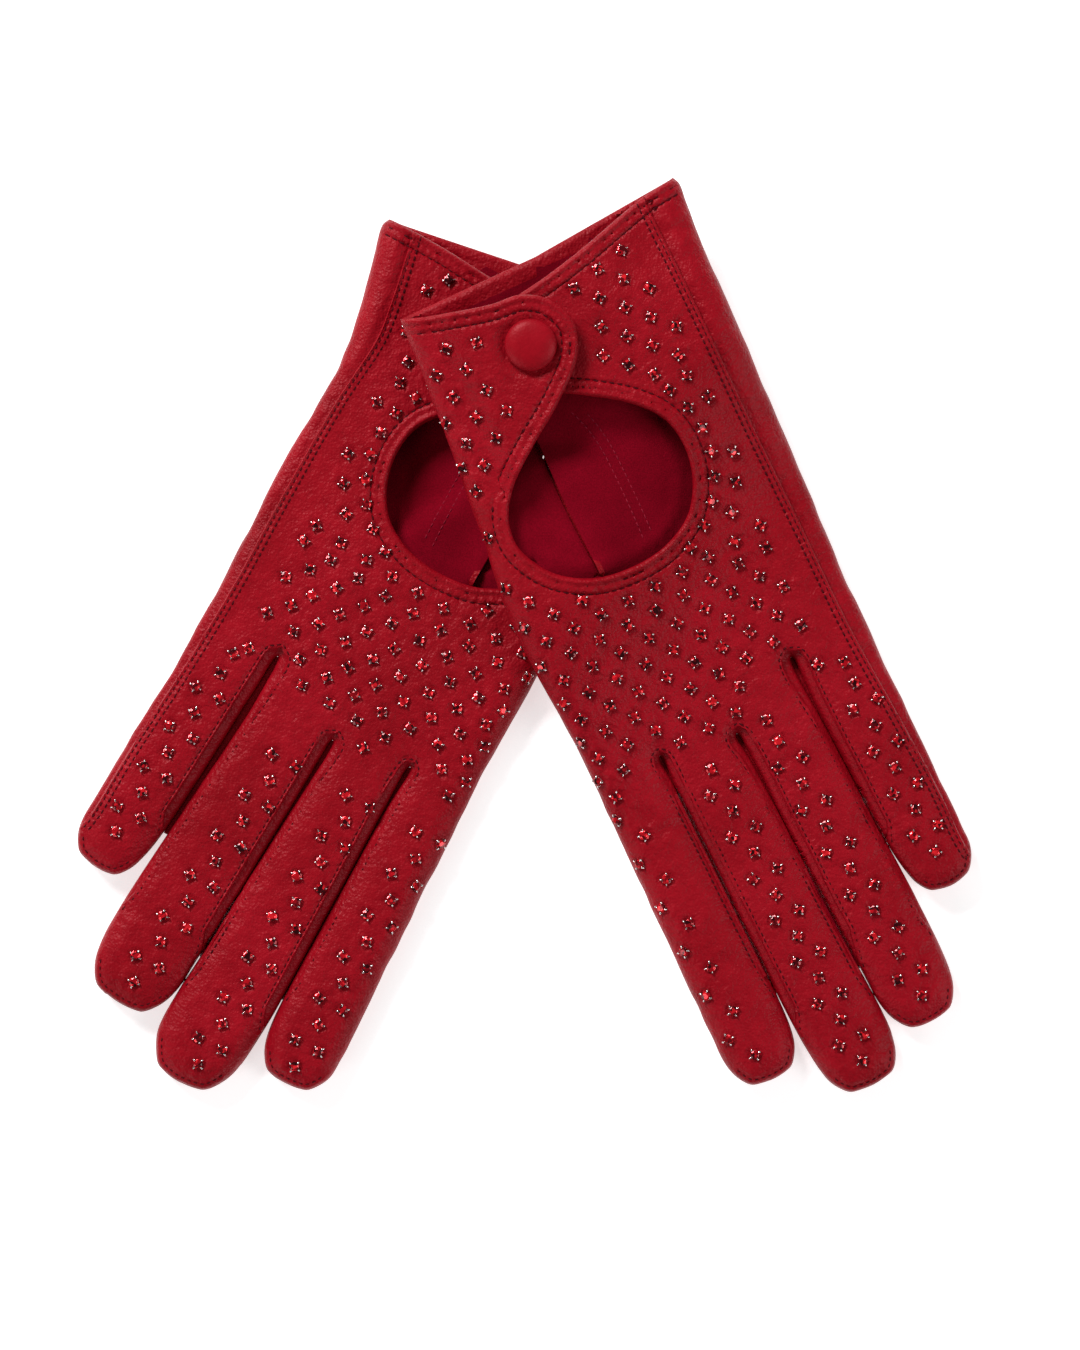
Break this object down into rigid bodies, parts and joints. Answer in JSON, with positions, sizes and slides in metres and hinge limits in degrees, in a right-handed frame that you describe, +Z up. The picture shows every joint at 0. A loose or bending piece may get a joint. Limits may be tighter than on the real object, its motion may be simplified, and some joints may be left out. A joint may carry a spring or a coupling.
{
  "type": "pair of leather driving gloves",
  "caption": "Pair of unlined leather driving gloves with snap wrist tabs, open backs and crystal-set backs, crossed at the cuffs.",
  "frame": {"origin": "bottom centre of the pair's bounding box, on the surface the gloves lie on", "axes": "+Z up out of the backs of the hands; +Y from the fingertips towards the cuffs; +X towards the left-hand glove"},
  "size_m": [0.2228, 0.2272, 0.0283],
  "materials": {
    "leather": "smooth dyed nappa, semi-matte",
    "suede": "flesh side, matte",
    "thread": "polyester sewing thread",
    "snap_metal": "nickel plated",
    "silver": "polished claw settings",
    "crystal": "faceted red crystal"
  },
  "bodies": {
    "right_glove": {"right_tab": "leather", "right_tab_facing": "leather", "right_snap_cap_cover": "leather", "right_snap_patch": "leather", "right_snap_cap": "snap_metal", "right_snap_socket": "snap_metal", "right_snap_stud": "snap_metal", "right_snap_post": "snap_metal", "right_settings": "silver", "right_crystals": "crystal", "right_tab_settings": "silver", "right_tab_crystals": "crystal", "right_index_middle_fourchette": "leather", "right_middle_ring_fourchette": "leather", "right_ring_little_fourchette": "leather", "right_index_side": "leather", "right_middle_tip": "leather", "right_ring_tip": "leather", "right_outer_side": "leather", "right_back": "leather", "right_palm": "leather"},
    "right_thumb": {"right_thumb": "leather"},
    "left_glove": {"left_snap_patch": "leather", "left_snap_stud": "snap_metal", "left_snap_post": "snap_metal", "left_settings": "silver", "left_crystals": "crystal", "left_index_middle_fourchette": "leather", "left_middle_ring_fourchette": "leather", "left_ring_little_fourchette": "leather", "left_index_side": "leather", "left_middle_tip": "leather", "left_ring_tip": "leather", "left_outer_side": "leather", "left_back": "leather", "left_palm": "leather"},
    "left_tab": {"left_tab": "leather", "left_tab_facing": "leather", "left_snap_cap_cover": "leather", "left_snap_cap": "snap_metal", "left_snap_socket": "snap_metal", "left_tab_settings": "silver", "left_tab_crystals": "crystal"},
    "left_thumb": {"left_thumb": "leather"}
  },
  "joints": [
    {"name": "left_glove_lift", "type": "slide", "parent": "right_glove", "child": "left_glove", "axis": [0, 0, 1], "range_m": [0, 0.06]},
    {"name": "left_tab_open", "type": "hinge", "parent": "left_glove", "child": "left_tab", "pos_m": [-0.01392, 0.0546, 0.02447], "axis": [0.4088, -0.9097, -0.0732], "range_deg": [0, 150]},
    {"name": "left_thumb_swing", "type": "hinge", "parent": "left_glove", "child": "left_thumb", "pos_m": [0.00751, 0.02887, 0.01312], "axis": [-0.03, 0.0668, -0.9973], "range_deg": [0, 45]},
    {"name": "right_thumb_swing", "type": "hinge", "parent": "right_glove", "child": "right_thumb", "pos_m": [-0.00097, 0.02572, 0.0013], "axis": [0, 0, 1], "range_deg": [0, 45]}
  ]
}
